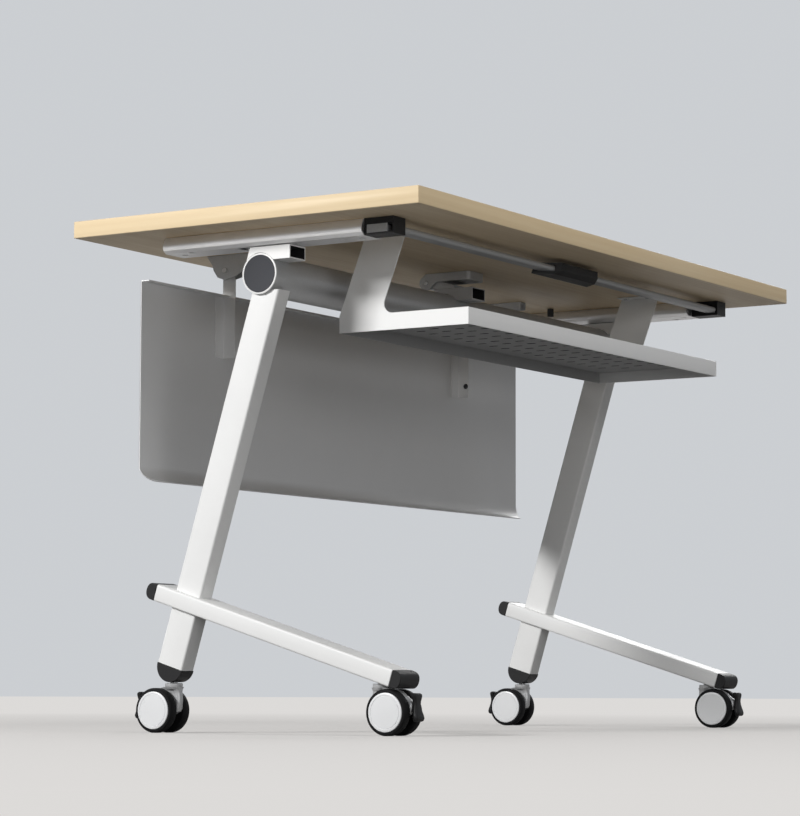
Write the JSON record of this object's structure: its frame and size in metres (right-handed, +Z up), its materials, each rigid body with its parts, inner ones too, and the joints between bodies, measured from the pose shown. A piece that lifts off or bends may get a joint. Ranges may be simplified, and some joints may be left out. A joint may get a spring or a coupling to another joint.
{
  "type": "flip top training table",
  "caption": "Folding training table: a wood top tilts up on leaning legs with locking castors, with a slotted book tray and a swinging modesty panel under the top.",
  "frame": {"origin": "on the floor under the middle of the top", "axes": "+X along the top's long side, +Y towards the modesty panel, +Z up"},
  "size_m": [1.2, 0.6, 0.75],
  "materials": {
    "board": "pale maple laminate with a matching edge band",
    "white_paint": "white powder coat, satin",
    "silver_paint": "silver grey powder coat, satin",
    "panel_paint": "light grey powder coat, satin",
    "arm_alloy": "satin silver extrusion",
    "steel": "bright steel pin",
    "black_plastic": "fine grained black plastic",
    "dark_grey_plastic": "smooth dark grey plastic",
    "cover_white": "smooth off-white plastic",
    "fork_grey": "satin silver grey",
    "tread": "soft black tread",
    "bumper_rubber": "matte"
  },
  "bodies": {
    "frame": {"crossbeam": "silver_paint", "crossbeam_plug_left": "dark_grey_plastic", "crossbeam_plug_right": "dark_grey_plastic", "leg_left": "white_paint", "leg_right": "white_paint", "leg_cap_left": "black_plastic", "leg_cap_right": "black_plastic", "foot_rail_left": "white_paint", "foot_rail_right": "white_paint", "rail_cap_rear_left": "black_plastic", "rail_cap_rear_right": "black_plastic", "rail_cap_front_left": "black_plastic", "rail_cap_front_right": "black_plastic", "stub_left": "white_paint", "stub_middle": "silver_paint", "stub_right": "white_paint", "hinge_knuckle_left": "silver_paint", "hinge_knuckle_middle": "silver_paint", "hinge_knuckle_right": "silver_paint", "hinge_pin_left": "steel", "hinge_pin_middle": "steel", "hinge_pin_right": "steel"},
    "top": {"tabletop": "board", "hinge_bracket_middle": "silver_paint", "arm_left": "arm_alloy", "arm_right": "arm_alloy", "arm_cap_left": "black_plastic", "arm_cap_right": "black_plastic", "tray_shelf": "white_paint", "tray_side_left": "white_paint", "tray_side_right": "white_paint", "panel_ear_left": "silver_paint", "panel_ear_right": "silver_paint", "bumper_left": "bumper_rubber", "bumper_right": "bumper_rubber"},
    "panel": {"modesty_panel": "panel_paint", "panel_hanger_left": "panel_paint", "panel_hanger_right": "panel_paint"},
    "release": {"release_bar": "arm_alloy", "release_handle": "black_plastic"},
    "castor_rear_left": {"castor_fork_rear_left": "fork_grey"},
    "wheel_rear_left": {"castor_wheel_rear_left": "tread", "castor_cover_a_rear_left": "cover_white", "castor_cover_b_rear_left": "cover_white"},
    "pedal_rear_left": {"castor_pedal_rear_left": "black_plastic"},
    "castor_rear_right": {"castor_fork_rear_right": "fork_grey"},
    "wheel_rear_right": {"castor_wheel_rear_right": "tread", "castor_cover_a_rear_right": "cover_white", "castor_cover_b_rear_right": "cover_white"},
    "pedal_rear_right": {"castor_pedal_rear_right": "black_plastic"},
    "castor_front_left": {"castor_fork_front_left": "fork_grey"},
    "wheel_front_left": {"castor_wheel_front_left": "tread", "castor_cover_a_front_left": "cover_white", "castor_cover_b_front_left": "cover_white"},
    "pedal_front_left": {"castor_pedal_front_left": "black_plastic"},
    "castor_front_right": {"castor_fork_front_right": "fork_grey"},
    "wheel_front_right": {"castor_wheel_front_right": "tread", "castor_cover_a_front_right": "cover_white", "castor_cover_b_front_right": "cover_white"},
    "pedal_front_right": {"castor_pedal_front_right": "black_plastic"}
  },
  "joints": [
    {"name": "top_flip", "type": "hinge", "parent": "frame", "child": "top", "pos_m": [0, 0.045, 0.71], "axis": [-1, 0, 0], "range_deg": [0, 75]},
    {"name": "panel_swing", "type": "hinge", "parent": "top", "child": "panel", "pos_m": [0, 0.201, 0.7005], "axis": [1, 0, 0], "range_deg": [0, 92]},
    {"name": "release_pull", "type": "slide", "parent": "top", "child": "release", "axis": [0, -1, 0], "range_m": [0, 0.009], "stiffness_N_per_m": 400},
    {"name": "swivel_rear_left", "type": "hinge", "parent": "frame", "child": "castor_rear_left", "pos_m": [-0.51, 0.174, 0.08], "axis": [0, 0, 1], "continuous": true},
    {"name": "spin_rear_left", "type": "hinge", "parent": "castor_rear_left", "child": "wheel_rear_left", "pos_m": [-0.51, 0.194, 0.0325], "axis": [1, 0, 0], "continuous": true},
    {"name": "brake_rear_left", "type": "hinge", "parent": "castor_rear_left", "child": "pedal_rear_left", "pos_m": [-0.51, 0.231, 0.047], "axis": [1, 0, 0], "range_deg": [0, 12]},
    {"name": "swivel_rear_right", "type": "hinge", "parent": "frame", "child": "castor_rear_right", "pos_m": [0.51, 0.174, 0.08], "axis": [0, 0, 1], "continuous": true},
    {"name": "spin_rear_right", "type": "hinge", "parent": "castor_rear_right", "child": "wheel_rear_right", "pos_m": [0.51, 0.194, 0.0325], "axis": [1, 0, 0], "continuous": true},
    {"name": "brake_rear_right", "type": "hinge", "parent": "castor_rear_right", "child": "pedal_rear_right", "pos_m": [0.51, 0.231, 0.047], "axis": [1, 0, 0], "range_deg": [0, 12]},
    {"name": "swivel_front_left", "type": "hinge", "parent": "frame", "child": "castor_front_left", "pos_m": [-0.51, -0.186, 0.08], "axis": [0, 0, 1], "continuous": true},
    {"name": "spin_front_left", "type": "hinge", "parent": "castor_front_left", "child": "wheel_front_left", "pos_m": [-0.51, -0.206, 0.0325], "axis": [1, 0, 0], "continuous": true},
    {"name": "brake_front_left", "type": "hinge", "parent": "castor_front_left", "child": "pedal_front_left", "pos_m": [-0.51, -0.243, 0.047], "axis": [-1, 0, 0], "range_deg": [0, 12]},
    {"name": "swivel_front_right", "type": "hinge", "parent": "frame", "child": "castor_front_right", "pos_m": [0.51, -0.186, 0.08], "axis": [0, 0, 1], "continuous": true},
    {"name": "spin_front_right", "type": "hinge", "parent": "castor_front_right", "child": "wheel_front_right", "pos_m": [0.51, -0.206, 0.0325], "axis": [1, 0, 0], "continuous": true},
    {"name": "brake_front_right", "type": "hinge", "parent": "castor_front_right", "child": "pedal_front_right", "pos_m": [0.51, -0.243, 0.047], "axis": [-1, 0, 0], "range_deg": [0, 12]}
  ],
  "couplings": [
    {"joint": "panel_swing", "follows": "top_flip", "ratio": 1.2266}
  ]
}
